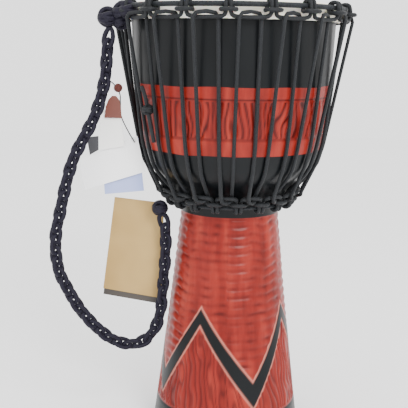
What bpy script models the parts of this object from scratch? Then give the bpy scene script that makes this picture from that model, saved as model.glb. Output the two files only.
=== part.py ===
"""African drum: a rope-tuned goblet drum with a carved shell, a goatskin head and a carrying strap.

Metres, +Z up. The origin is the centre of the foot. Azimuth 0 faces -Y and grows towards +X.
"""
import math

import bmesh
import bpy
from mathutils import Vector

# Driving dimensions
CLEARANCE = 0.0003
WRAP_SLACK = 0.0010
SHELL_HEIGHT = 0.600
FOOT_RADIUS = 0.106
FOOT_BORE = 0.089
WAIST_RADIUS = 0.0685
WAIST_HEIGHT = 0.3175
THROAT_BORE = 0.046
EDGE_RADIUS = 0.1390
BOWL_WALL = 0.013
EDGE_ROUND = 0.005
ROPE_DIAMETER = 0.005
RING_ROD = 0.005
WRAP_THICKNESS = 0.0008
CROWN_RING_RADIUS = 0.1500
CROWN_RING_HEIGHT = 0.5935
BOTTOM_RING_RADIUS = 0.0840
BOTTOM_RING_HEIGHT = 0.3340
FLESH_ROD = 0.0036
FLESH_RING_HEIGHT = 0.5795
SKIN_THICKNESS = 0.0008
LOOPS = 18
LACING_PHASE = -2.3
TOP_CORNER_ANGLE = 3.6
TOP_LACING_ANGLE = 4.7
LOW_LACING_ANGLE = 3.9
LOW_CORNER_ANGLE = 6.2
TOP_LOOP_OUT = 0.0040
LOW_LOOP_OUT = 0.0130
TOP_LOOP_DROP = 0.0150
BOTTOM_LOOP_RISE = 0.0145
STRAP_DIAMETER = 0.016
STRAP_AZIMUTH = -70.0
STRAP_LENGTH = 0.77
CARD_THICKNESS = 0.0008
BEAD_DIAMETER = 0.012
STRING_DIAMETER = 0.0016
SHELL_SEGMENTS = 44
RING_SEGMENTS = 48
ROPE_SIDES = 5

# Outside of the bowl between the waist and the bearing edge: height, radius
BOWL_OUTLINE = [
    (0.3259, 0.0705), (0.3348, 0.0733), (0.3400, 0.0755), (0.3450, 0.0780), (0.3522, 0.0830),
    (0.3609, 0.0920), (0.3696, 0.1030), (0.3782, 0.1105), (0.3867, 0.1165), (0.4038, 0.1222),
    (0.4207, 0.1262), (0.4540, 0.1306), (0.4870, 0.1335), (0.5360, 0.1365),
]
GROOVE_HEIGHTS = (0.4785, 0.4285)
GROOVE_DEPTH = 0.0015
GROOVE_HALF_WIDTH = 0.0018
FOOT_GROOVE_HEIGHT = 0.0430
STEM_BOW = 0.0010

# The strap's middle line in its own upright plane: radius from the drum's axis, height
STRAP_ROUTE = [
    (0.1700, 0.565), (0.1730, 0.550), (0.1750, 0.530), (0.1770, 0.504), (0.1820, 0.480), (0.1900, 0.455),
    (0.2000, 0.434), (0.2100, 0.416), (0.2200, 0.396), (0.2280, 0.372), (0.2340, 0.348), (0.2390, 0.325),
    (0.2440, 0.303), (0.2460, 0.282), (0.2450, 0.260), (0.2400, 0.237), (0.2300, 0.216), (0.2200, 0.196),
    (0.2070, 0.177), (0.1890, 0.156), (0.1690, 0.139), (0.1500, 0.131), (0.1330, 0.130), (0.1180, 0.138),
    (0.1070, 0.153), (0.1010, 0.172), (0.0985, 0.192), (0.0970, 0.212), (0.0955, 0.232), (0.0940, 0.254),
    (0.0935, 0.276), (0.0950, 0.298), (0.1000, 0.314),
]


def around(azimuth, radius, height):
    """Point at an azimuth in degrees, a radius and a height."""
    turn = math.radians(azimuth)
    return Vector((radius * math.sin(turn), -radius * math.cos(turn), height))


def material(name, colour, roughness, metallic=0.0):
    made = bpy.data.materials.new(name)
    made.use_nodes = True
    shader = made.node_tree.nodes["Principled BSDF"]
    shader.inputs["Base Color"].default_value = (*colour, 1.0)
    shader.inputs["Roughness"].default_value = roughness
    shader.inputs["Metallic"].default_value = metallic
    return made


def add_mesh(name, points, faces, finish):
    mesh = bpy.data.meshes.new(name)
    mesh.from_pydata([tuple(point) for point in points], [], faces)
    body = bmesh.new()
    body.from_mesh(mesh)
    bmesh.ops.recalc_face_normals(body, faces=body.faces)
    if body.calc_volume(signed=True) < 0:
        bmesh.ops.reverse_faces(body, faces=body.faces)
    body.to_mesh(mesh)
    body.free()
    mesh.shade_smooth()
    mesh.set_sharp_from_angle(angle=math.radians(40))
    item = bpy.data.objects.new(name, mesh)
    item.data.materials.append(finish)
    bpy.context.collection.objects.link(item)
    return item


def revolve(name, outline, segments, finish, closed=True):
    """Turn an outline of (radius, height) round Z; a radius of 0 is a pole."""
    points = []
    rows = []
    for radius, height in outline:
        if radius == 0:
            rows.append([len(points)])
            points.append(Vector((0, 0, height)))
            continue
        rows.append([len(points) + step for step in range(segments)])
        points += [around(360 * step / segments, radius, height) for step in range(segments)]
    faces = []
    last = len(rows) if closed else len(rows) - 1
    for index in range(last):
        low = rows[index]
        high = rows[(index + 1) % len(rows)]
        if len(low) == 1 and len(high) == 1:
            continue
        for step in range(segments):
            ahead = (step + 1) % segments
            if len(low) == 1:
                faces.append((low[0], high[step], high[ahead]))
            elif len(high) == 1:
                faces.append((low[step], low[ahead], high[0]))
            else:
                faces.append((low[step], low[ahead], high[ahead], high[step]))
    return add_mesh(name, points, faces, finish)


def ring(name, radius, height, rod, sides, finish):
    circle = [(radius + rod / 2 * math.cos(2 * math.pi * side / sides),
               height + rod / 2 * math.sin(2 * math.pi * side / sides)) for side in range(sides)]
    return revolve(name, circle, RING_SEGMENTS, finish)


def tube(name, path, diameter, sides, finish, closed=False):
    """A round tube along a path; the frame is carried along it without twisting."""
    count = len(path)
    tangents = []
    for index in range(count):
        before = path[index - 1] if closed or index > 0 else path[0]
        after = path[(index + 1) % count] if closed or index < count - 1 else path[-1]
        tangents.append((after - before).normalized())
    side = tangents[0].orthogonal().normalized()
    sides_along = []
    for tangent in tangents:
        side = (side - tangent * side.dot(tangent)).normalized()
        sides_along.append(side.copy())
    points = []
    for place, tangent, across in zip(path, tangents, sides_along):
        up = tangent.cross(across)
        for corner in range(sides):
            turn = 2 * math.pi * corner / sides
            points.append(place + (across * math.cos(turn) + up * math.sin(turn)) * diameter / 2)
    faces = []
    for index in range(count if closed else count - 1):
        nearest = 0
        following = (index + 1) % count
        if closed and following == 0:
            start = points[(count - 1) * sides]
            nearest = min(range(sides), key=lambda corner: (points[corner] - start).length)
        for corner in range(sides):
            ahead = (corner + 1) % sides
            faces.append((index * sides + corner, index * sides + ahead,
                          following * sides + (ahead + nearest) % sides,
                          following * sides + (corner + nearest) % sides))
    if not closed:
        faces.append(tuple(range(sides)))
        faces.append(tuple((count - 1) * sides + corner for corner in range(sides)))
    return add_mesh(name, points, faces, finish)


def shell_radius(height):
    """Outside radius of the shell at a height, without its grooves."""
    if height <= WAIST_HEIGHT:
        share = 1 - height / WAIST_HEIGHT
        bow = STEM_BOW * math.sin(math.pi * share)
        return WAIST_RADIUS + (FOOT_RADIUS - WAIST_RADIUS) * share - bow
    outline = [(WAIST_HEIGHT, WAIST_RADIUS)] + BOWL_OUTLINE + [(SHELL_HEIGHT - 2 * EDGE_ROUND, EDGE_RADIUS)]
    for (low, inner), (high, outer) in zip(outline, outline[1:]):
        if height <= high:
            return inner + (outer - inner) * (height - low) / (high - low)
    return EDGE_RADIUS


def groove(height):
    return [(shell_radius(height - GROOVE_HALF_WIDTH), height - GROOVE_HALF_WIDTH),
            (shell_radius(height) - GROOVE_DEPTH, height),
            (shell_radius(height + GROOVE_HALF_WIDTH), height + GROOVE_HALF_WIDTH)]


def make_shell(finish):
    """The carved shell in two nodes that meet at the waist, so that each can be hollow in collision."""
    seam = WAIST_HEIGHT - CLEARANCE
    foot = [(shell_radius(height), height) for height in (0.0, 0.085, 0.165, 0.245, 0.300, seam)]
    foot += groove(FOOT_GROOVE_HEIGHT)
    foot.sort(key=lambda point: point[1])
    foot += [(THROAT_BORE, seam), (THROAT_BORE, WAIST_HEIGHT - 0.015), (0.062, 0.170), (FOOT_BORE, 0.0)]
    outside = [(WAIST_RADIUS, WAIST_HEIGHT)] + [(radius, height) for height, radius in BOWL_OUTLINE]
    for height in GROOVE_HEIGHTS:
        outside += groove(height)
    outside.sort(key=lambda point: point[1])
    crest = SHELL_HEIGHT - SKIN_THICKNESS - CLEARANCE
    edge = [(EDGE_RADIUS, SHELL_HEIGHT - 2 * EDGE_ROUND),
            (EDGE_RADIUS - 0.15 * EDGE_ROUND, crest - EDGE_ROUND),
            (EDGE_RADIUS - 0.55 * EDGE_ROUND, crest - 0.3 * EDGE_ROUND),
            (EDGE_RADIUS - 1.2 * EDGE_ROUND, crest),
            (EDGE_RADIUS - 2.0 * EDGE_ROUND, crest - 0.9 * EDGE_ROUND)]
    bowl = [(shell_radius(height) - BOWL_WALL, height + 0.3 * BOWL_WALL)
            for height in (0.580, 0.487, 0.4207, 0.3867, 0.3696)]
    throat = [(0.066, 0.352), (THROAT_BORE, WAIST_HEIGHT + 0.010), (THROAT_BORE, WAIST_HEIGHT)]
    revolve("shell_bowl", outside + edge + bowl + throat, SHELL_SEGMENTS, finish)
    revolve("shell_stem", foot, SHELL_SEGMENTS, finish)


def make_skin(finish):
    """Goatskin head over the bearing edge, turned out and round the flesh ring."""
    inner = EDGE_RADIUS + CLEARANCE
    outer = inner + SKIN_THICKNESS
    flesh = flesh_radius()
    fold = flesh + FLESH_ROD / 2 + CLEARANCE
    low = FLESH_RING_HEIGHT - FLESH_ROD / 2 - CLEARANCE
    high = FLESH_RING_HEIGHT + FLESH_ROD / 2 + CLEARANCE
    turned = 0.8 * (FLESH_ROD / 2 + CLEARANCE)
    top = SHELL_HEIGHT
    under = SHELL_HEIGHT - SKIN_THICKNESS
    outline = [(0, top), (EDGE_RADIUS - 1.2 * EDGE_ROUND, top), (EDGE_RADIUS - 0.4 * EDGE_ROUND, top - 0.25 * EDGE_ROUND),
               (outer - 0.0004, top - EDGE_ROUND), (outer, top - 2 * EDGE_ROUND), (outer, high + 0.0016),
               (flesh, high + SKIN_THICKNESS), (flesh + turned + SKIN_THICKNESS, FLESH_RING_HEIGHT + turned),
               (fold + SKIN_THICKNESS, FLESH_RING_HEIGHT),
               (fold + 0.3 * SKIN_THICKNESS, low - 0.6 * SKIN_THICKNESS), (flesh - 0.0006, low - SKIN_THICKNESS),
               (flesh - 0.0006, low), (fold - 0.0004, low + 0.0004), (fold, FLESH_RING_HEIGHT),
               (flesh + turned, FLESH_RING_HEIGHT + turned), (flesh, high), (inner, high - 0.0002), (inner, top - 2 * EDGE_ROUND),
               (inner - 0.0004, under - EDGE_ROUND), (EDGE_RADIUS - 0.45 * EDGE_ROUND, under - 0.25 * EDGE_ROUND),
               (EDGE_RADIUS - 1.2 * EDGE_ROUND, under), (0, under)]
    return revolve("goatskin_head", outline, RING_SEGMENTS, finish, closed=False)


def flesh_radius():
    return EDGE_RADIUS + CLEARANCE + FLESH_ROD / 2 + 0.0002


def hitch(ring_radius, ring_height, grip, corner_angle, corner_radius, corner_height, up):
    """One cow hitch round a ring, from its left loop corner to its right one."""
    wrap = grip + WRAP_SLACK + ROPE_DIAMETER / 2
    leg = ROPE_DIAMETER / 2 + CLEARANCE
    bar = 0.98 * wrap
    side = leg + ROPE_DIAMETER + 0.5 * ROPE_DIAMETER / 2
    front = wrap + ROPE_DIAMETER + 2 * CLEARANCE
    left = [(-leg - 0.0002, 0.92 * wrap, bar + 0.6 * ROPE_DIAMETER), (-leg, wrap, 0.3 * wrap), (-leg, 0.62 * wrap, -0.82 * wrap),
            (-leg, -0.62 * wrap, -0.82 * wrap), (-leg, -1.02 * wrap, 0.1 * wrap),
            (-0.8 * side, -0.5 * wrap, 0.98 * wrap), (-side, 0.83 * wrap, bar)]
    middle = [(-0.6 * side, front, bar), (0.6 * side, front, bar)]
    right = [(-across, out, rise) for across, out, rise in reversed(left)]
    path = [(-math.radians(corner_angle) * ring_radius, corner_radius, corner_height)]
    path += left + middle + right
    path.append((math.radians(corner_angle) * ring_radius, corner_radius, corner_height))
    return [(across, ring_radius + out, ring_height + up * rise) for across, out, rise in path]


def loop_rope(name, ring_radius, ring_height, grip, offset, corner_angle, corner_radius, corner_height, up, finish):
    path = []
    for count in range(LOOPS):
        azimuth = LACING_PHASE + offset + 360 * count / LOOPS
        for across, radius, height in hitch(ring_radius, ring_height, grip, corner_angle,
                                            corner_radius, corner_height, up):
            path.append(around(azimuth + math.degrees(across / ring_radius), radius, height))
    return tube(name, path, ROPE_DIAMETER, ROPE_SIDES, finish, closed=True)


def rope_seat(height):
    """Radius of a rope's middle where it lies on the bowl at a height."""
    lean = (shell_radius(height + 0.002) - shell_radius(height - 0.002)) / 0.004
    lift = ROPE_DIAMETER / 2 + 3 * CLEARANCE
    return shell_radius(height) + lift * math.sqrt(1 + lean * lean)


def taut_path(top, bottom):
    """Radius and height points of a taut rope over the bowl, from its upper to its lower end."""
    samples = [top]
    height = 0.458
    while height > bottom[1] + 0.004:
        samples.append((rope_seat(height), height))
        height -= 0.010
    samples.append(bottom)
    hull = []
    for point in samples:
        while len(hull) > 1:
            (first_r, first_z), (second_r, second_z) = hull[-2], hull[-1]
            turn = (second_r - first_r) * (point[1] - first_z) - (second_z - first_z) * (point[0] - first_r)
            if turn < 0:
                break
            hull.pop()
        hull.append(point)
    return hull


def make_lacing(top_radius, top_height, low_radius, low_height, finish):
    """One rope up and down the bowl: over each top loop and under each bottom loop."""
    step = ROPE_DIAMETER + 2 * CLEARANCE
    pitch = 360 / LOOPS
    path = []

    def run(centre, side, top, bottom, upward):
        places = taut_path(top, bottom)
        if upward:
            places.reverse()
        for radius, height in places:
            share = (height - bottom[1]) / (top[1] - bottom[1])
            angle = LOW_LACING_ANGLE + (TOP_LACING_ANGLE - LOW_LACING_ANGLE) * share
            path.append(around(centre + side * angle, radius, height))

    def turn(start, gap, radius, height, up):
        """Half a turn round a loop, from its outer side over its free edge to its inner side."""
        steps = ((0.12, 0.76, 0.76), (0.5, 0.0, 1.04), (0.88, -0.76, 0.76))
        return [around(start + share * gap, radius + out * step, height + up * rise * step)
                for share, out, rise in steps]

    for count in range(LOOPS):
        centre = LACING_PHASE + pitch * count
        run(centre, -1, (top_radius - step, top_height - 0.001), (low_radius + step, low_height + 0.001), False)
        path += turn(centre - LOW_LACING_ANGLE, 2 * LOW_LACING_ANGLE, low_radius, low_height, -1)
        low_inner = (low_radius - 1.12 * step, low_height + 0.5 * step)
        run(centre, 1, (top_radius + step, top_height - 0.001), low_inner, True)
        path += turn(centre + TOP_LACING_ANGLE, pitch - 2 * TOP_LACING_ANGLE, top_radius, top_height, 1)
    return tube("lacing_rope", path, ROPE_DIAMETER, ROPE_SIDES, finish, closed=True)


def card(name, corners, depth, finish):
    """A thin upright card; corners are (x, z), anticlockwise from the front."""
    front = [Vector((x, depth, z)) for x, z in corners]
    back = [Vector((x, depth + CARD_THICKNESS, z)) for x, z in corners]
    count = len(corners)
    faces = [tuple(range(count)), tuple(range(2 * count - 1, count - 1, -1))]
    faces += [(side, (side + 1) % count, count + (side + 1) % count, count + side) for side in range(count)]
    return add_mesh(name, front + back, faces, finish)


def ball(name, centre, size, finish):
    mesh = bpy.data.meshes.new(name)
    body = bmesh.new()
    bmesh.ops.create_uvsphere(body, u_segments=10, v_segments=7, radius=0.5)
    bmesh.ops.scale(body, vec=size, verts=body.verts)
    bmesh.ops.translate(body, vec=centre, verts=body.verts)
    body.to_mesh(mesh)
    body.free()
    mesh.shade_smooth()
    item = bpy.data.objects.new(name, mesh)
    item.data.materials.append(finish)
    bpy.context.collection.objects.link(item)
    return item


def main():
    for item in list(bpy.data.objects):
        bpy.data.objects.remove(item)
    wood = material("carved_wood", (0.40, 0.05, 0.03), 0.45)
    skin = material("goatskin", (0.85, 0.80, 0.68), 0.6)
    steel = material("ring_steel", (0.08, 0.08, 0.09), 0.5, 0.6)
    rope = material("black_rope", (0.03, 0.035, 0.04), 0.7)
    braid = material("strap_rope", (0.02, 0.015, 0.035), 0.7)
    gold = material("gold_card", (0.62, 0.48, 0.22), 0.5)
    dark = material("dark_card", (0.05, 0.04, 0.035), 0.5)
    white = material("white_card", (0.88, 0.88, 0.87), 0.5)
    blue = material("blue_card", (0.55, 0.60, 0.80), 0.5)
    brown = material("brown_wood", (0.12, 0.04, 0.03), 0.4)

    make_shell(wood)
    make_skin(skin)
    ring("flesh_ring", flesh_radius(), FLESH_RING_HEIGHT, FLESH_ROD, 6, steel)
    grip = RING_ROD / 2 + WRAP_THICKNESS
    ring("crown_ring", CROWN_RING_RADIUS, CROWN_RING_HEIGHT, 2 * grip, 8, steel)
    ring("bottom_ring", BOTTOM_RING_RADIUS, BOTTOM_RING_HEIGHT, RING_ROD, 8, steel)
    loop_rope("top_loop_rope", CROWN_RING_RADIUS, CROWN_RING_HEIGHT, grip, 0.0, TOP_CORNER_ANGLE,
              TOP_LOOP_OUT, TOP_LOOP_DROP, -1, rope)
    half_pitch = 180 / LOOPS
    loop_rope("bottom_loop_rope", BOTTOM_RING_RADIUS, BOTTOM_RING_HEIGHT, RING_ROD / 2, half_pitch,
              half_pitch - LOW_CORNER_ANGLE, LOW_LOOP_OUT, BOTTOM_LOOP_RISE, 1, rope)
    make_lacing(CROWN_RING_RADIUS + TOP_LOOP_OUT, CROWN_RING_HEIGHT - TOP_LOOP_DROP,
                BOTTOM_RING_RADIUS + LOW_LOOP_OUT, BOTTOM_RING_HEIGHT + BOTTOM_LOOP_RISE, rope)

    route = [around(STRAP_AZIMUTH, radius, height) for radius, height in STRAP_ROUTE]
    tube("strap_cord", route, STRAP_DIAMETER, 8, braid)
    ball("strap_top_knot", around(STRAP_AZIMUTH, 0.1745, 0.5815), (0.024, 0.024, 0.026), braid)
    ball("strap_bottom_knot", around(STRAP_AZIMUTH, 0.1055, 0.3285), (0.016, 0.016, 0.022), braid)
    card("gold_card", [(-0.178, 0.201), (-0.094, 0.188), (-0.092, 0.327), (-0.161, 0.334)], -0.0180, gold)
    card("card_back", [(-0.178, 0.192), (-0.094, 0.179), (-0.092, 0.326), (-0.161, 0.333)],
         -0.0180 + CARD_THICKNESS + CLEARANCE, dark)
    dome = [(-0.163 + 0.0150 * math.cos(math.radians(turn)), 0.444 + 0.0150 * math.sin(math.radians(turn)))
            for turn in range(0, 181, 20)]
    card("round_tag", [(-0.178, 0.403), (-0.144, 0.409)] + dome, -0.0440, white)
    card("white_card", [(-0.199, 0.347), (-0.116, 0.374), (-0.127, 0.423), (-0.207, 0.388)], -0.0400, white)
    card("blue_card", [(-0.172, 0.341), (-0.118, 0.347), (-0.126, 0.420), (-0.176, 0.400)], -0.0360, blue)
    ball("tag_bead", Vector((-0.152, -0.0450, 0.487)), (BEAD_DIAMETER, BEAD_DIAMETER, BEAD_DIAMETER), brown)


main()
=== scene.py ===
"""Finish of the african drum: carved shell, skin, ropes, chain-braided strap and hang cards."""
import math

import bmesh
import bpy
from mathutils import Matrix, Vector, noise


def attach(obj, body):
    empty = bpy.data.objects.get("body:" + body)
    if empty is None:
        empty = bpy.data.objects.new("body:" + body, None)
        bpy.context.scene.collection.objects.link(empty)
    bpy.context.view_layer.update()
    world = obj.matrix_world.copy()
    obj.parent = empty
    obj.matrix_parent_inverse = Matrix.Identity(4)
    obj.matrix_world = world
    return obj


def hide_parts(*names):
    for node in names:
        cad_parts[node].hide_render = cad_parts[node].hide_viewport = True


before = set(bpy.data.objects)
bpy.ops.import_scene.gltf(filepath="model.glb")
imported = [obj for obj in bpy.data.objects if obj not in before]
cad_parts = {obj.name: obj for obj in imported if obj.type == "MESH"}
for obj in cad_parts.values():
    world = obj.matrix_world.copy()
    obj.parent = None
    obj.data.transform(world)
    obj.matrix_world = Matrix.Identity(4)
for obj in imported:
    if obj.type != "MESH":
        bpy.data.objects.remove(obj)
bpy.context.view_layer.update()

# Sizes repeated from the model, in metres and degrees
CLEARANCE = 0.0003
WRAP_SLACK = 0.0010
SHELL_HEIGHT = 0.600
FOOT_RADIUS = 0.106
FOOT_BORE = 0.089
WAIST_RADIUS = 0.0685
WAIST_HEIGHT = 0.3175
THROAT_BORE = 0.046
EDGE_RADIUS = 0.1390
BOWL_WALL = 0.013
EDGE_ROUND = 0.005
STEM_BOW = 0.0010
SKIN_THICKNESS = 0.0008
ROPE_DIAMETER = 0.005
TOP_GRIP = 0.0033
LOW_GRIP = 0.0025
CROWN_RING_RADIUS = 0.1500
CROWN_RING_HEIGHT = 0.5935
BOTTOM_RING_RADIUS = 0.0840
BOTTOM_RING_HEIGHT = 0.3340
LOOPS = 18
LACING_PHASE = -2.3
TOP_CORNER_ANGLE = 3.6
TOP_LACING_ANGLE = 4.7
LOW_LACING_ANGLE = 3.9
LOW_CORNER_ANGLE = 6.2
TOP_LOOP_OUT = 0.0040
LOW_LOOP_OUT = 0.0130
TOP_LOOP_DROP = 0.0150
BOTTOM_LOOP_RISE = 0.0145
STRAP_AZIMUTH = -70.0

# Bowl outline as height and outside radius
BOWL_OUTLINE = [
    (0.3259, 0.0705), (0.3348, 0.0733), (0.3400, 0.0755), (0.3450, 0.0780), (0.3522, 0.0830),
    (0.3609, 0.0920), (0.3696, 0.1030), (0.3782, 0.1105), (0.3867, 0.1165), (0.4038, 0.1222),
    (0.4207, 0.1262), (0.4540, 0.1306), (0.4870, 0.1335), (0.5360, 0.1365),
]
# Strap route as radius and height at the strap's azimuth
STRAP_ROUTE = [
    (0.1700, 0.565), (0.1730, 0.550), (0.1750, 0.530), (0.1770, 0.504), (0.1820, 0.480), (0.1900, 0.455),
    (0.2000, 0.434), (0.2100, 0.416), (0.2200, 0.396), (0.2280, 0.372), (0.2340, 0.348), (0.2390, 0.325),
    (0.2440, 0.303), (0.2460, 0.282), (0.2450, 0.260), (0.2400, 0.237), (0.2300, 0.216), (0.2200, 0.196),
    (0.2070, 0.177), (0.1890, 0.156), (0.1690, 0.139), (0.1500, 0.131), (0.1330, 0.130), (0.1180, 0.138),
    (0.1070, 0.153), (0.1010, 0.172), (0.0985, 0.192), (0.0970, 0.212), (0.0955, 0.232), (0.0940, 0.254),
    (0.0935, 0.276), (0.0950, 0.298), (0.1000, 0.314),
]

# Painted bands and carving of the shell
BAND_TOP = 0.494
BAND_BOTTOM = 0.407
FOOT_BAND = 0.043
PAINT_EDGE = 0.0016
PAINT_WAVER = 0.0009
GROOVES = (0.4785, 0.4285)
GROOVE_WIDTH = 0.0018
GROOVE_DEPTH = 0.0016
BAND_FLUTES = 84
BAND_FLUTE_DEPTH = 0.0018
STEM_FLUTES = 72
STEM_FLUTE_DEPTH = 0.0016
STEM_FLUTE_SLANT = 60
RIDGE_SPACING = 0.0120
RIDGE_DEPTH = 0.0022
RIDGE_WANDER = 0.0042
PLAIN_MARGIN = 0.002
FOOT_MARGIN = 0.003
ZIGZAG_PERIOD = 90.0
ZIGZAG_PEAK = -25.5
ZIGZAG_FALL = 49.0
PEAK_TOP = 0.194
PEAK_LOW = 0.168
VALLEY_TOP = 0.093
VALLEY_LOW = 0.055
CUT_WIDTH = 0.0034
CUT_DEPTH = 0.0009
CUT_LIGHTNESS = 0.85
SHELL_TURNS = 420
SHELL_STEP = 0.0019

# Braids, links of the strap and turns of its knots
LOOP_SIDES = 10
LOOP_BRAID = 0.00022
LOOP_BRAID_PITCH = 0.005
LACING_SIDES = 8
LACING_BRAID = 0.0002
LACING_STEP = 0.003
BRAID_PITCH = 0.006
LINK_STEP = 0.0150
LINK_REACH = 0.0125
LINK_WIDTH = 0.0058
LINK_ROD = 0.0031
LINK_LEAN = 27.0
LINK_LEAN_PLAY = 9
LINK_CORNERS = 18
LINK_SWELL = 0.22
STRAND_SIDES = 8
STRAND_BRAID = 0.0003
KNOT_ROD = 0.0034
KNOT_CORNERS = 14
KNOT_PRECESSION = 0.37
TIE_ROD = 0.0024
STRING_RADIUS = 0.0008
STRING_SIDES = 6

# Turns of the strap's rope round the crown ring, as azimuth, radius, height and size
ANCHOR_TURNS = (
    (-65.5, 0.1580, 0.5860, 0.0095),
    (-61.5, 0.1530, 0.5880, 0.0090),
    (-68.0, 0.1570, 0.5740, 0.0085),
)
# Ends of the lacing at its tie, as azimuth, radius and height
LACING_TIE = (-51, 0.1385, 0.462)
LACING_TAIL = ((-52.5, 0.1460, 0.492), (-50.5, 0.1440, 0.480), (-51.0, 0.1400, 0.468))
LACING_END = ((-51.0, 0.1390, 0.460), (-49.0, 0.1370, 0.440), (-48.5, 0.1330, 0.420))

# Strings and small tags, in the frame's own coordinates
TAG_STRING = (
    (-0.1640, -0.0560, 0.498), (-0.1570, -0.0490, 0.492), (-0.1500, -0.0448, 0.480),
    (-0.1490, -0.0448, 0.468), (-0.1480, -0.0450, 0.450), (-0.1400, -0.0450, 0.432),
    (-0.1300, -0.0420, 0.414),
)
CARD_STRING = ((-0.1010, -0.0350, 0.330), (-0.1005, -0.0210, 0.328), (-0.1000, -0.0188, 0.320))
BROWN_TAG_OUTLINE = (
    (-0.170, 0.447), (-0.147, 0.447), (-0.1480, 0.462), (-0.1500, 0.471), (-0.1545, 0.4765),
    (-0.1600, 0.4765), (-0.1650, 0.471), (-0.1685, 0.462),
)
BROWN_TAG_DEPTH = -0.0470
BROWN_TAG_THICKNESS = 0.0008
DARK_TAG_OUTLINE = ((-0.195, 0.420), (-0.191, 0.396), (-0.179, 0.403), (-0.179, 0.422))
DARK_TAG_DEPTH = -0.0436
DARK_TAG_THICKNESS = 0.0006

# Linear colours
NONE = (0, 0, 0)
FULL = (1, 1, 1)
RED_SHADE = (0.10, 0.005, 0.003)
RED = (0.19, 0.012, 0.008)
RED_LIGHT = (0.29, 0.030, 0.018)
RED_WORN = (0.31, 0.034, 0.021)
# Painted shade: the dark red laid into the carved grooves, flutes and ridge troughs
RED_PAINTED_SHADE = (0.040, 0.002, 0.002)
CUT_COLOUR = (0.55, 0.19, 0.14)
PAINT_DEEP = (0.0015, 0.002, 0.0025)
PAINT_PALE = (0.004, 0.005, 0.006)
SKIN_SHADE = (0.80, 0.73, 0.58)
SKIN = (0.90, 0.86, 0.76)
SKIN_PALE = (0.95, 0.93, 0.87)

# Camera, fitted to the photograph
CAMERA_PLACE = (0.0, -1.15, 0.5427)
CAMERA_DOWN = 0.18842
CAMERA_YAW = -0.03147
CAMERA_ROLL = 0.01615
CAMERA_NEAR = 0.02
FOCAL_PIXELS = 824.4
FRAME_PIXELS = 408
SENSOR = 36.0

# Studio
FLOOR_REACH = 4
WORLD_STRENGTH = 2.1
KEY_LIGHT = {"place": (0.7, -1.5, 1.4), "target": (0, 0, 0.35), "size": 0.6, "power": 34}
FILL_LIGHT = {"place": (-1.4, -1.2, 0.9), "target": (0, 0, 0.3), "size": 1.2, "power": 6}


def around(azimuth, radius, height):
    turn = math.radians(azimuth)
    return Vector((radius * math.sin(turn), -radius * math.cos(turn), height))


def make_camera():
    level = math.cos(CAMERA_DOWN)
    right = Vector((math.cos(CAMERA_YAW), -math.sin(CAMERA_YAW), 0))
    ahead = Vector((math.sin(CAMERA_YAW) * level, math.cos(CAMERA_YAW) * level, -math.sin(CAMERA_DOWN)))
    up = right.cross(ahead)
    across = right * math.cos(CAMERA_ROLL) + up * math.sin(CAMERA_ROLL)
    above = up * math.cos(CAMERA_ROLL) - right * math.sin(CAMERA_ROLL)
    camera = bpy.data.objects.new("camera", bpy.data.cameras.new("camera"))
    camera.data.sensor_width = SENSOR
    camera.data.lens = FOCAL_PIXELS / FRAME_PIXELS * SENSOR
    camera.data.clip_start = CAMERA_NEAR
    turn = Matrix((across, above, -ahead)).transposed().to_4x4()
    camera.matrix_world = Matrix.Translation(CAMERA_PLACE) @ turn
    bpy.context.collection.objects.link(camera)
    bpy.context.scene.camera = camera


def area_light(name, place, target, size, power):
    light = bpy.data.objects.new(name, bpy.data.lights.new(name, "AREA"))
    light.data.size = size
    light.data.energy = power
    light.location = place
    light.rotation_euler = (Vector(target) - Vector(place)).to_track_quat("-Z", "Y").to_euler()
    bpy.context.collection.objects.link(light)


def make_floor():
    corners = [(-FLOOR_REACH, -FLOOR_REACH, 0), (FLOOR_REACH, -FLOOR_REACH, 0),
               (FLOOR_REACH, FLOOR_REACH, 0), (-FLOOR_REACH, FLOOR_REACH, 0)]
    mesh = bpy.data.meshes.new("floor")
    mesh.from_pydata(corners, [], [(0, 1, 2, 3)])
    floor = bpy.data.objects.new("floor", mesh)
    bpy.context.collection.objects.link(floor)
    finish = bpy.data.materials.new("pale_floor")
    finish.use_nodes = True
    shader = finish.node_tree.nodes["Principled BSDF"]
    shader.inputs["Base Color"].default_value = (0.97, 0.97, 0.97, 1)
    shader.inputs["Roughness"].default_value = 0.7
    mesh.materials.append(finish)


def make_studio():
    make_floor()
    world = bpy.data.worlds.new("studio")
    world.use_nodes = True
    background = world.node_tree.nodes["Background"]
    background.inputs["Color"].default_value = (1, 1, 1, 1)
    background.inputs["Strength"].default_value = WORLD_STRENGTH
    bpy.context.scene.world = world
    area_light("key", **KEY_LIGHT)
    area_light("fill", **FILL_LIGHT)


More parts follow.
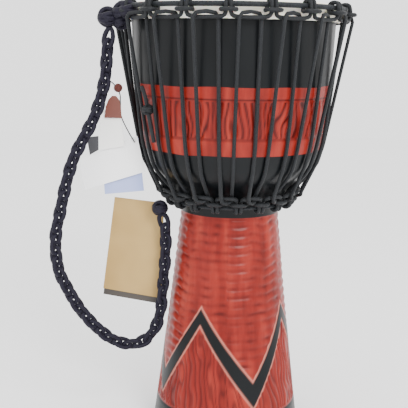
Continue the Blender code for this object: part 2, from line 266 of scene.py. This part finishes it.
class Finish:
    """A Principled material with small helpers for its nodes."""

    def __init__(self, name, colour, roughness):
        self.made = bpy.data.materials.new(name)
        self.made.use_nodes = True
        self.tree = self.made.node_tree
        self.shader = self.tree.nodes["Principled BSDF"]
        self.shader.inputs["Base Color"].default_value = (*colour, 1)
        self.shader.inputs["Roughness"].default_value = roughness
        self.place = self.tree.nodes.new("ShaderNodeTexCoord").outputs["Object"]
        self.normal = None

    def link(self, output, target):
        self.tree.links.new(output, target)

    def noise(self, scale, detail, stretch=(1, 1, 1)):
        mapping = self.tree.nodes.new("ShaderNodeMapping")
        mapping.inputs["Scale"].default_value = stretch
        self.link(self.place, mapping.inputs["Vector"])
        texture = self.tree.nodes.new("ShaderNodeTexNoise")
        texture.inputs["Scale"].default_value = scale
        texture.inputs["Detail"].default_value = detail
        self.link(mapping.outputs["Vector"], texture.inputs["Vector"])
        return texture.outputs["Fac"]

    def ramp(self, factor, stops):
        """A colour ramp through stops of a position and a colour."""
        node = self.tree.nodes.new("ShaderNodeValToRGB")
        elements = node.color_ramp.elements
        for element, (position, colour) in zip(elements, (stops[0], stops[-1])):
            element.position = position
            element.color = (*colour, 1)
        for position, colour in stops[1:-1]:
            elements.new(position).color = (*colour, 1)
        self.link(factor, node.inputs["Fac"])
        return node.outputs["Color"]

    def mix(self, factor, first, second):
        """Blend two colours, each a node's output or three numbers, by a node's output."""
        node = self.tree.nodes.new("ShaderNodeMix")
        node.data_type = "RGBA"
        self.link(factor, node.inputs[0])
        for source, socket in ((first, node.inputs[6]), (second, node.inputs[7])):
            if isinstance(source, tuple):
                socket.default_value = (*source, 1)
            else:
                self.link(source, socket)
        return node.outputs[2]

    def attribute(self, name):
        node = self.tree.nodes.new("ShaderNodeAttribute")
        node.attribute_name = name
        return node.outputs["Fac"]

    def bump(self, height, distance, strength):
        node = self.tree.nodes.new("ShaderNodeBump")
        node.inputs["Distance"].default_value = distance
        node.inputs["Strength"].default_value = strength
        self.link(height, node.inputs["Height"])
        if self.normal:
            self.link(self.normal, node.inputs["Normal"])
        self.normal = node.outputs["Normal"]
        self.link(self.normal, self.shader.inputs["Normal"])

    def colour(self, output):
        self.link(output, self.shader.inputs["Base Color"])


def carved_finish():
    """Red-stained wood and black paint, told apart by the mesh's own masks, with painted shade darkening the
    red in the carved grooves and flutes.
    """
    finish = Finish("carved_shell", (0.5, 0.08, 0.05), 0.34)
    grain = finish.noise(60, 5, (1, 1, 0.12))
    patches = finish.noise(9, 3)
    red = finish.ramp(grain, [(0.30, RED_SHADE), (0.52, RED), (0.75, RED_LIGHT)])
    worn = finish.ramp(patches, [(0.4, NONE), (0.7, (0.3, 0.3, 0.3))])
    red = finish.mix(worn, red, RED_WORN)
    # Painted shade: the red turns dark in the carved grooves, flutes and ridge troughs
    red = finish.mix(finish.attribute("hollow"), red, RED_PAINTED_SHADE)
    black = finish.ramp(patches, [(0.3, PAINT_DEEP), (0.7, PAINT_PALE)])
    painted = finish.ramp(finish.attribute("paint"), [(0.46, NONE), (0.54, FULL)])
    body = finish.mix(painted, red, black)
    finish.colour(finish.mix(finish.attribute("cut"), body, CUT_COLOUR))
    finish.shader.inputs["Specular IOR Level"].default_value = 0.16
    finish.bump(grain, 0.0006, 0.5)
    finish.bump(finish.noise(260, 3), 0.0002, 0.4)
    return finish.made


def rope_finish(name, dark, light, scale=900):
    finish = Finish(name, dark, 0.62)
    fibres = finish.noise(scale, 3)
    finish.colour(finish.ramp(fibres, [(0.3, dark), (0.75, light)]))
    finish.shader.inputs["Sheen Weight"].default_value = 0.05
    finish.shader.inputs["Specular IOR Level"].default_value = 0.2
    finish.shader.inputs["Sheen Roughness"].default_value = 0.4
    finish.bump(fibres, 0.0006, 0.7)
    return finish.made


def skin_finish():
    finish = Finish("scraped_goatskin", (0.9, 0.87, 0.78), 0.55)
    spots = finish.noise(18, 6)
    finish.colour(finish.ramp(spots, [(0.25, SKIN_SHADE), (0.5, SKIN), (0.8, SKIN_PALE)]))
    finish.shader.inputs["Subsurface Weight"].default_value = 0.15
    finish.shader.inputs["Subsurface Radius"].default_value = (0.004, 0.002, 0.001)
    finish.bump(finish.noise(240, 4), 0.0003, 0.5)
    return finish.made


def card_finish(name, low, high):
    finish = Finish(name, low, 0.5)
    cloud = finish.ramp(finish.noise(14, 2), [(0.3, NONE), (0.7, FULL)])
    finish.colour(finish.mix(cloud, low, high))
    finish.bump(finish.noise(420, 4), 0.0001, 0.5)
    return finish.made


def shell_radius(height):
    """Outside radius of the plain shell."""
    if height <= WAIST_HEIGHT:
        share = 1 - height / WAIST_HEIGHT
        return WAIST_RADIUS + (FOOT_RADIUS - WAIST_RADIUS) * share - STEM_BOW * math.sin(math.pi * share)
    outline = [(WAIST_HEIGHT, WAIST_RADIUS)] + BOWL_OUTLINE + [(SHELL_HEIGHT - 2 * EDGE_ROUND, EDGE_RADIUS)]
    for (low, inner), (high, outer) in zip(outline, outline[1:]):
        if height <= high:
            return inner + (outer - inner) * (height - low) / (high - low)
    return EDGE_RADIUS


def smooth_radius(height):
    """Outside radius, eased over a few millimetres so that the bowl has no rings of facets."""
    reach = 0.005
    steps = (-1.0, -0.5, 0.0, 0.5, 1.0)
    return sum(shell_radius(max(0.0, height + reach * step)) for step in steps) / len(steps)


def step_up(value, edge):
    """0 below the edge and 1 above it, over the soft width of a painted edge."""
    return min(1.0, max(0.0, (value - edge) / PAINT_EDGE + 0.5))


def waver(azimuth, height, across, along, seed):
    """Smooth unevenness of hand work at a place on the shell."""
    return noise.noise(Vector((azimuth / across, height * along, seed)))


def zigzag_edges(azimuth):
    """Heights of the zigzag's lower and upper edge."""
    phase = (azimuth - ZIGZAG_PEAK) % ZIGZAG_PERIOD
    if phase < ZIGZAG_FALL:
        climb = 1 - phase / ZIGZAG_FALL
    else:
        climb = (phase - ZIGZAG_FALL) / (ZIGZAG_PERIOD - ZIGZAG_FALL)
    return VALLEY_LOW + (PEAK_LOW - VALLEY_LOW) * climb, VALLEY_TOP + (PEAK_TOP - VALLEY_TOP) * climb


def flute(azimuth, height, count, seed):
    """Hand-cut upright flutes: 0 on the ridges and 1 in the hollows."""
    sway = waver(azimuth, height, 14, 26, seed) * 1.3
    width = waver(azimuth, height, 5, 5, seed + 7) * 0.8
    return 0.5 - 0.5 * math.cos(2 * math.pi * (azimuth * count / 360 + sway + width))


def black_paint(azimuth, height, zigzag):
    """1 where the shell is black and 0 where it is red."""
    uneven = waver(azimuth, height, 20, 12, 3.0) * PAINT_WAVER
    top = step_up(height, BAND_TOP + uneven)
    bowl = step_up(height, WAIST_HEIGHT) * (1 - step_up(height, BAND_BOTTOM + uneven))
    foot = 1 - step_up(height, FOOT_BAND)
    return max(top, bowl, foot, zigzag)


def groove_cut(height):
    """Depth of the turned grooves and the painted shade laid in them."""
    cut = max(max(0.0, 1 - abs(height - level) / GROOVE_WIDTH) for level in (*GROOVES, FOOT_BAND))
    return cut * GROOVE_DEPTH, cut


def band_cut(azimuth, height):
    """Depth of the flutes between the red band's grooves and the painted shade laid in them."""
    if not GROOVES[1] + PLAIN_MARGIN < height < GROOVES[0] - PLAIN_MARGIN:
        return 0.0, 0.0
    cut = flute(azimuth, height, BAND_FLUTES, 1.0)
    return cut * BAND_FLUTE_DEPTH, cut ** 3


def stem_cut(azimuth, height, zigzag, zigzag_top):
    """Depth of the ridges above the zigzag and of the flutes below it, and the painted shade laid in their
    troughs.
    """
    if zigzag >= 0.5 or not FOOT_BAND + FOOT_MARGIN < height < WAIST_HEIGHT - PLAIN_MARGIN:
        return 0.0, 0.0
    if height > zigzag_top:
        wander = waver(azimuth, height, 17, 7, 5.0) * RIDGE_WANDER
        wave = 0.5 - 0.5 * math.cos(2 * math.pi * (height + wander) / RIDGE_SPACING)
        cut = wave * (0.6 + 0.6 * waver(azimuth, height, 9, 40, 9.0))
        return cut * RIDGE_DEPTH, min(0.7, max(0.0, cut) ** 2 * 0.8)
    cut = flute(azimuth + height * STEM_FLUTE_SLANT, height, STEM_FLUTES, 2.0)
    return cut * STEM_FLUTE_DEPTH, cut ** 3 * 0.6


def cut_edge(height, low, high):
    """How much bare wood shows at the cut edges of the zigzag."""
    edge = min(abs(height - low), abs(height - high))
    if edge >= CUT_WIDTH or not FOOT_BAND < height < PEAK_TOP + PLAIN_MARGIN:
        return 0.0
    return CUT_LIGHTNESS * (1 - edge / CUT_WIDTH)


def carve(azimuth, height):
    """Depth of the carving, black paint, painted shade in the carved grooves and flutes, and bare cut edges
    at a place on the shell.
    """
    low, high = zigzag_edges(azimuth)
    zigzag = step_up(height, low) * (1 - step_up(height, high))
    black = black_paint(azimuth, height, zigzag)
    light = cut_edge(height, low, high)
    cuts = [groove_cut(height), band_cut(azimuth, height), stem_cut(azimuth, height, zigzag, high)]
    depth = max(0.0, light * CUT_DEPTH, *(deep for deep, painted_shade in cuts))
    # Painted shade: the darkest of the cuts' painted shade sets how dark the red is laid there
    hollow = max(0.0, *(painted_shade for deep, painted_shade in cuts))
    return depth, black, hollow * (1 - black), light


def shell_rows():
    """The shell's closed outline as radius, height and whether the row is on the carved outside."""
    crest = SHELL_HEIGHT - SKIN_THICKNESS - CLEARANCE
    top = SHELL_HEIGHT - 2 * EDGE_ROUND
    levels = []
    height = 0.0
    while height < top:
        levels.append(height)
        height += SHELL_STEP
    edge = [(EDGE_RADIUS, top), (EDGE_RADIUS - 0.15 * EDGE_ROUND, crest - EDGE_ROUND),
            (EDGE_RADIUS - 0.55 * EDGE_ROUND, crest - 0.3 * EDGE_ROUND),
            (EDGE_RADIUS - 1.2 * EDGE_ROUND, crest),
            (EDGE_RADIUS - 2.0 * EDGE_ROUND, crest - 0.9 * EDGE_ROUND)]
    bowl = [(shell_radius(level) - BOWL_WALL, level + 0.3 * BOWL_WALL)
            for level in (0.580, 0.487, 0.4207, 0.3867, 0.3696)]
    stem = [(0.066, 0.352), (THROAT_BORE, WAIST_HEIGHT + 0.010), (THROAT_BORE, WAIST_HEIGHT - 0.015),
            (0.062, 0.170), (FOOT_BORE, 0.0)]
    rows = [(smooth_radius(level), level, True) for level in levels]
    return rows + [(radius, level, False) for radius, level in edge + bowl + stem]


def make_shell():
    plain = (0.0, 1.0, 0.0, 0.0)
    rows = shell_rows()
    points = []
    # The mesh's masks: black paint, painted shade in the carved grooves and flutes, and bare wood at the cut
    # edges
    masks = {"paint": [], "hollow": [], "cut": []}
    for radius, level, outside in rows:
        for turn in range(SHELL_TURNS):
            azimuth = 360 * turn / SHELL_TURNS
            depth, black, hollow, light = carve(azimuth, level) if outside else plain
            points.append(tuple(around(azimuth, radius - depth, level)))
            masks["paint"].append(black)
            masks["hollow"].append(hollow)
            masks["cut"].append(light)
    faces = []
    for row in range(len(rows)):
        low = row * SHELL_TURNS
        high = (row + 1) % len(rows) * SHELL_TURNS
        for turn in range(SHELL_TURNS):
            ahead = (turn + 1) % SHELL_TURNS
            faces.append((low + turn, low + ahead, high + ahead, high + turn))
    mesh = bpy.data.meshes.new("carved_shell")
    mesh.from_pydata(points, [], faces)
    for name, values in masks.items():
        mesh.attributes.new(name, "FLOAT", "POINT").data.foreach_set("value", values)
    mesh.shade_smooth()
    mesh.materials.append(carved_finish())
    shell = bpy.data.objects.new("carved_shell", mesh)
    bpy.context.collection.objects.link(shell)
    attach(shell, "drum")
    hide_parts("shell_bowl", "shell_stem")


def smooth_path(points, closed, divisions):
    """Points along a Catmull-Rom curve through the given points."""
    count = len(points)
    made = []
    for index in range(count if closed else count - 1):
        if closed:
            near = [points[(index + offset) % count] for offset in (-1, 0, 1, 2)]
        else:
            near = [points[min(count - 1, max(0, index + offset))] for offset in (-1, 0, 1, 2)]
        before, first, second, after = near
        for part in range(divisions):
            share = part / divisions
            made.append(0.5 * ((2 * first) + (second - before) * share
                               + (2 * before - 5 * first + 4 * second - after) * share * share
                               + (3 * first - before - 3 * second + after) * share ** 3))
    if not closed:
        made.append(points[-1].copy())
    return made


def tube_mesh(mesh_data, path, radius, sides, closed, ridges=0.0, pitch=BRAID_PITCH):
    """Add a round tube along a path; ridges press a two-way braid into it."""
    points, faces = mesh_data
    start = len(points)
    count = len(path)
    side = None
    travelled = 0.0
    for index, place in enumerate(path):
        before = path[index - 1] if closed or index > 0 else path[0]
        after = path[(index + 1) % count] if closed or index < count - 1 else path[-1]
        tangent = (after - before).normalized()
        side = tangent.orthogonal() if side is None else side
        side = (side - tangent * side.dot(tangent)).normalized()
        up = tangent.cross(side)
        if index:
            travelled += (place - path[index - 1]).length
        twist = 2 * math.pi * travelled / pitch
        for corner in range(sides):
            turn = 2 * math.pi * corner / sides
            lift = ridges * math.sin(2 * turn + twist) * math.sin(2 * turn - twist)
            points.append(place + (side * math.cos(turn) + up * math.sin(turn)) * (radius + lift))
    last = start + (count - 1) * sides
    for index in range(count if closed else count - 1):
        following = (index + 1) % count
        shift = 0
        if closed and following == 0:
            shift = min(range(sides), key=lambda corner: (points[start + corner] - points[last]).length)
        low = start + index * sides
        high = start + following * sides
        for corner in range(sides):
            ahead = (corner + 1) % sides
            faces.append((low + corner, low + ahead, high + (ahead + shift) % sides,
                          high + (corner + shift) % sides))
    if not closed:
        faces.append(tuple(start + corner for corner in reversed(range(sides))))
        faces.append(tuple(last + corner for corner in range(sides)))


def finish_mesh(name, mesh_data, finish, body, replaced=()):
    """Make a piece from points and faces, on its body and with its slot."""
    points, faces = mesh_data
    mesh = bpy.data.meshes.new(name)
    mesh.from_pydata([tuple(point) for point in points], [], faces)
    check = bmesh.new()
    check.from_mesh(mesh)
    bmesh.ops.recalc_face_normals(check, faces=check.faces)
    check.to_mesh(mesh)
    check.free()
    mesh.shade_smooth()
    mesh.materials.append(finish)
    piece = bpy.data.objects.new(name, mesh)
    bpy.context.collection.objects.link(piece)
    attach(piece, body)
    if replaced:
        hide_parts(*replaced)
    return piece


def hitch(ring_radius, ring_height, grip, corner_angle, corner_radius, corner_height, up):
    """One cow hitch round a ring, as distances along it, radii and heights."""
    wrap = grip + WRAP_SLACK + ROPE_DIAMETER / 2
    leg = ROPE_DIAMETER / 2 + CLEARANCE
    bar = 0.98 * wrap
    side = leg + ROPE_DIAMETER + 0.5 * ROPE_DIAMETER / 2
    front = wrap + ROPE_DIAMETER + 2 * CLEARANCE
    left = [(-leg - 0.0002, 0.92 * wrap, bar + 0.6 * ROPE_DIAMETER), (-leg, wrap, 0.3 * wrap),
            (-leg, 0.62 * wrap, -0.82 * wrap), (-leg, -0.62 * wrap, -0.82 * wrap),
            (-leg, -1.02 * wrap, 0.1 * wrap), (-0.8 * side, -0.5 * wrap, 0.98 * wrap),
            (-side, 0.83 * wrap, bar)]
    middle = [(-0.6 * side, front, bar), (0.6 * side, front, bar)]
    right = [(-across, out, rise) for across, out, rise in reversed(left)]
    reach = math.radians(corner_angle) * ring_radius
    path = [(-reach, corner_radius, corner_height)] + left + middle + right
    path.append((reach, corner_radius, corner_height))
    return [(across, ring_radius + out, ring_height + up * rise) for across, out, rise in path]


def loop_rope(name, ring_radius, ring_height, grip, offset, corner_angle, out, rise, up, finish):
    """A ring's row of hitches in one closed rope."""
    path = []
    for count in range(LOOPS):
        azimuth = LACING_PHASE + offset + 360 * count / LOOPS
        for across, radius, height in hitch(ring_radius, ring_height, grip, corner_angle, out, rise, up):
            path.append(around(azimuth + math.degrees(across / ring_radius), radius, height))
    data = ([], [])
    line = smooth_path(path, True, 4)
    tube_mesh(data, line, ROPE_DIAMETER / 2, LOOP_SIDES, True, LOOP_BRAID, LOOP_BRAID_PITCH)
    finish_mesh("braided_" + name, data, finish, "drum", [name])


def rope_seat(height):
    """Radius at which a rope's middle lies on the bowl."""
    lean = (shell_radius(height + 0.002) - shell_radius(height - 0.002)) / 0.004
    lift = ROPE_DIAMETER / 2 + 3 * CLEARANCE
    return shell_radius(height) + lift * math.sqrt(1 + lean * lean)


def taut_path(top, bottom):
    """A rope pulled tight over the bowl from top to bottom, each a radius and a height."""
    samples = [top]
    height = 0.458
    while height > bottom[1] + 0.004:
        samples.append((rope_seat(height), height))
        height -= 0.010
    samples.append(bottom)
    hull = []
    for point in samples:
        while len(hull) > 1:
            (first_r, first_z), (second_r, second_z) = hull[-2], hull[-1]
            turn = (second_r - first_r) * (point[1] - first_z) - (second_z - first_z) * (point[0] - first_r)
            if turn < 0:
                break
            hull.pop()
        hull.append(point)
    return hull


def make_lacing(finish):
    """The long rope between the two rows of hitches, closed on itself."""
    top_radius = CROWN_RING_RADIUS + TOP_LOOP_OUT
    top_height = CROWN_RING_HEIGHT - TOP_LOOP_DROP
    low_radius = BOTTOM_RING_RADIUS + LOW_LOOP_OUT
    low_height = BOTTOM_RING_HEIGHT + BOTTOM_LOOP_RISE
    step = ROPE_DIAMETER + 2 * CLEARANCE
    pitch = 360 / LOOPS
    path = []

    def run(centre, side, top, bottom, upward):
        places = taut_path(top, bottom)
        if upward:
            places.reverse()
        for radius, height in places:
            share = (height - bottom[1]) / (top[1] - bottom[1])
            angle = LOW_LACING_ANGLE + (TOP_LACING_ANGLE - LOW_LACING_ANGLE) * share
            path.append(around(centre + side * angle, radius, height))

    def turn(start, gap, radius, height, up):
        steps = ((0.12, 0.76, 0.76), (0.5, 0.0, 1.04), (0.88, -0.76, 0.76))
        path.extend(around(start + share * gap, radius + out * step, height + up * rise * step)
                    for share, out, rise in steps)

    for count in range(LOOPS):
        centre = LACING_PHASE + pitch * count
        low_outer = (low_radius + step, low_height + 0.001)
        run(centre, -1, (top_radius - step, top_height - 0.001), low_outer, False)
        turn(centre - LOW_LACING_ANGLE, 2 * LOW_LACING_ANGLE, low_radius, low_height, -1)
        low_inner = (low_radius - 1.12 * step, low_height + 0.5 * step)
        run(centre, 1, (top_radius + step, top_height - 0.001), low_inner, True)
        turn(centre + TOP_LACING_ANGLE, pitch - 2 * TOP_LACING_ANGLE, top_radius, top_height, 1)
    fine = []
    for first, second in zip(path, path[1:] + path[:1]):
        parts = max(1, int((second - first).length / LACING_STEP))
        fine += [first.lerp(second, part / parts) for part in range(parts)]
    data = ([], [])
    tube_mesh(data, fine, ROPE_DIAMETER / 2, LACING_SIDES, True, LACING_BRAID)
    finish_mesh("braided_lacing", data, finish, "drum", ["lacing_rope"])


def strap_link(place, tangent, wide):
    """One open loop of the chain braid, fuller at the end that it is drawn out to."""
    loop = []
    for corner in range(LINK_CORNERS):
        turn = 2 * math.pi * corner / LINK_CORNERS
        swell = 1 + LINK_SWELL * math.cos(turn)
        spread = wide * LINK_WIDTH * math.sin(turn) * swell
        loop.append(place + tangent * LINK_REACH * math.cos(turn) + spread)
    return loop


def make_strap(finish):
    """Chain braid: open loops drawn through each other, leaning to one side and the other in turn."""
    route = [around(STRAP_AZIMUTH, radius, height) for radius, height in STRAP_ROUTE]
    line = smooth_path(route, False, 12)
    flat = around(STRAP_AZIMUTH + 90, 1, 0)
    lengths = [0.0]
    for first, second in zip(line, line[1:]):
        lengths.append(lengths[-1] + (second - first).length)
    linked = lengths[-1] - 2 * LINK_REACH
    count = round(linked / LINK_STEP)
    data = ([], [])
    for link in range(count + 1):
        middle = LINK_REACH + linked * link / count
        index = min(range(1, len(line) - 1), key=lambda spot: abs(lengths[spot] - middle))
        tangent = (line[index + 1] - line[index - 1]).normalized()
        place = line[index] + tangent * (middle - lengths[index])
        play = LINK_LEAN_PLAY * noise.noise(Vector((link * 1.7, 0, 0)))
        lean = math.radians(LINK_LEAN + play) * (1 if link % 2 else -1)
        wide = tangent.cross(flat) * math.cos(lean) + flat * math.sin(lean)
        tube_mesh(data, strap_link(place, tangent, wide), LINK_ROD, STRAND_SIDES, True, STRAND_BRAID)
    strap = finish_mesh("chain_strap", data, finish, "strap", ["strap_cord"])
    return strap, route, lengths[-1]


def make_knot(name, centre, size, turns, finish, body, replaced=(), rod=KNOT_ROD):
    """A knot of rope wound in crossing turns round a middle point."""
    path = []
    for index in range(turns * KNOT_CORNERS):
        angle = 2 * math.pi * index / KNOT_CORNERS
        lean = angle * KNOT_PRECESSION
        spot = Vector((math.cos(angle), math.sin(angle) * math.cos(lean), math.sin(angle) * math.sin(lean)))
        path.append(centre + spot * size)
    data = ([], [])
    tube_mesh(data, smooth_path(path, False, 2), rod, STRAND_SIDES, False, STRAND_BRAID)
    return finish_mesh(name, data, finish, body, replaced)


def make_strap_knots(finish):
    """The strap's two end knots, which swing with it."""
    top = make_knot("strap_knot_top", around(STRAP_AZIMUTH, 0.1735, 0.5790), 0.0105, 6, finish,
                    "strap", ["strap_top_knot"])
    low = make_knot("strap_knot_low", around(STRAP_AZIMUTH, 0.1020, 0.3230), 0.0080, 5, finish,
                    "strap", ["strap_bottom_knot"])
    return [top, low]


def make_anchor_turns(finish):
    """Turns of the strap's rope that stay on the crown ring."""
    for number, (azimuth, radius, height, size) in enumerate(ANCHOR_TURNS):
        place = around(azimuth, radius, height)
        make_knot("anchor_turns_" + str(number), place, size, 5, finish, "drum")


def make_tail(name, places, finish):
    data = ([], [])
    path = smooth_path([around(*place) for place in places], False, 6)
    tube_mesh(data, path, ROPE_DIAMETER / 2, LACING_SIDES, False, LACING_BRAID)
    finish_mesh(name, data, finish, "drum")


def make_lacing_tie(finish):
    """The knot at the left front that ties the lacing off, with its two ends."""
    make_knot("lacing_tie", around(*LACING_TIE), 0.0052, 4, finish, "drum", rod=TIE_ROD)
    make_tail("lacing_tail", LACING_TAIL, finish)
    make_tail("lacing_end", LACING_END, finish)


def make_ropes(finish):
    loop_rope("top_loop_rope", CROWN_RING_RADIUS, CROWN_RING_HEIGHT, TOP_GRIP, 0.0, TOP_CORNER_ANGLE,
              TOP_LOOP_OUT, TOP_LOOP_DROP, -1, finish)
    loop_rope("bottom_loop_rope", BOTTOM_RING_RADIUS, BOTTOM_RING_HEIGHT, LOW_GRIP, 180 / LOOPS,
              180 / LOOPS - LOW_CORNER_ANGLE, LOW_LOOP_OUT, BOTTOM_LOOP_RISE, 1, finish)
    make_lacing(finish)


def dress_node(node, finish):
    """Give a CAD node that stays in view its finish."""
    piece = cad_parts[node]
    for slot in piece.material_slots:
        slot.material = finish
    if not piece.material_slots:
        piece.data.materials.append(finish)
    return piece


def dress_head():
    dress_node("goatskin_head", skin_finish())
    cloth = rope_finish("ring_cloth", (0.003, 0.004, 0.005), (0.020, 0.023, 0.027), 500)
    for node in ("crown_ring", "bottom_ring", "flesh_ring"):
        dress_node(node, cloth)


def dress_cards():
    gold = card_finish("gold_card_face", (0.30, 0.18, 0.045), (0.42, 0.27, 0.085))
    back = card_finish("card_back_face", (0.025, 0.02, 0.018), (0.05, 0.04, 0.03))
    dome = card_finish("round_tag_face", (0.86, 0.85, 0.82), (0.92, 0.91, 0.89))
    white = card_finish("white_card_face", (0.88, 0.88, 0.89), (0.95, 0.95, 0.95))
    blue = card_finish("blue_card_face", (0.22, 0.28, 0.55), (0.36, 0.42, 0.70))
    bead = rope_finish("bead_wood", (0.05, 0.012, 0.010), (0.14, 0.04, 0.03), 120)
    dressed = {"gold_card": gold, "card_back": back, "round_tag": dome, "white_card": white,
               "blue_card": blue, "tag_bead": bead}
    return [dress_node(node, finish) for node, finish in dressed.items()]


def make_plate(name, outline, depth, thickness, finish):
    """A flat card that faces the front, cut to an outline of x and z places."""
    points = [(x, depth + back, z) for back in (0.0, thickness) for x, z in outline]
    count = len(outline)
    faces = [tuple(range(count)), tuple(reversed(range(count, 2 * count)))]
    faces += [(side, (side + 1) % count, (side + 1) % count + count, side + count) for side in range(count)]
    piece = finish_mesh(name, (points, faces), finish, "strap")
    for face in piece.data.polygons:
        face.use_smooth = False
    return piece


def make_string(name, places, finish):
    data = ([], [])
    path = smooth_path([Vector(place) for place in places], False, 5)
    tube_mesh(data, path, STRING_RADIUS, STRING_SIDES, False)
    return finish_mesh(name, data, finish, "strap")


def make_tags(finish):
    """Strings of the cards, in the rope's finish, and the two small tags."""
    brown = card_finish("brown_tag_face", (0.10, 0.02, 0.012), (0.18, 0.05, 0.03))
    dark = card_finish("dark_tag_face", (0.02, 0.02, 0.022), (0.05, 0.05, 0.06))
    return [
        make_string("tag_string", TAG_STRING, finish),
        make_string("card_string", CARD_STRING, finish),
        make_plate("brown_tag", BROWN_TAG_OUTLINE, BROWN_TAG_DEPTH, BROWN_TAG_THICKNESS, brown),
        make_plate("dark_tag", DARK_TAG_OUTLINE, DARK_TAG_DEPTH, DARK_TAG_THICKNESS, dark),
    ]


make_camera()
make_studio()
black_rope = rope_finish("black_braid", (0.003, 0.0035, 0.004), (0.016, 0.018, 0.021))
strap_rope = rope_finish("strap_braid", (0.002, 0.0015, 0.005), (0.011, 0.009, 0.022))
strap, strap_route, strap_length = make_strap(strap_rope)
strap_knots = make_strap_knots(strap_rope)
make_anchor_turns(strap_rope)
make_lacing_tie(black_rope)
make_shell()
make_ropes(black_rope)
dress_head()
hung_pieces = dress_cards() + make_tags(black_rope)
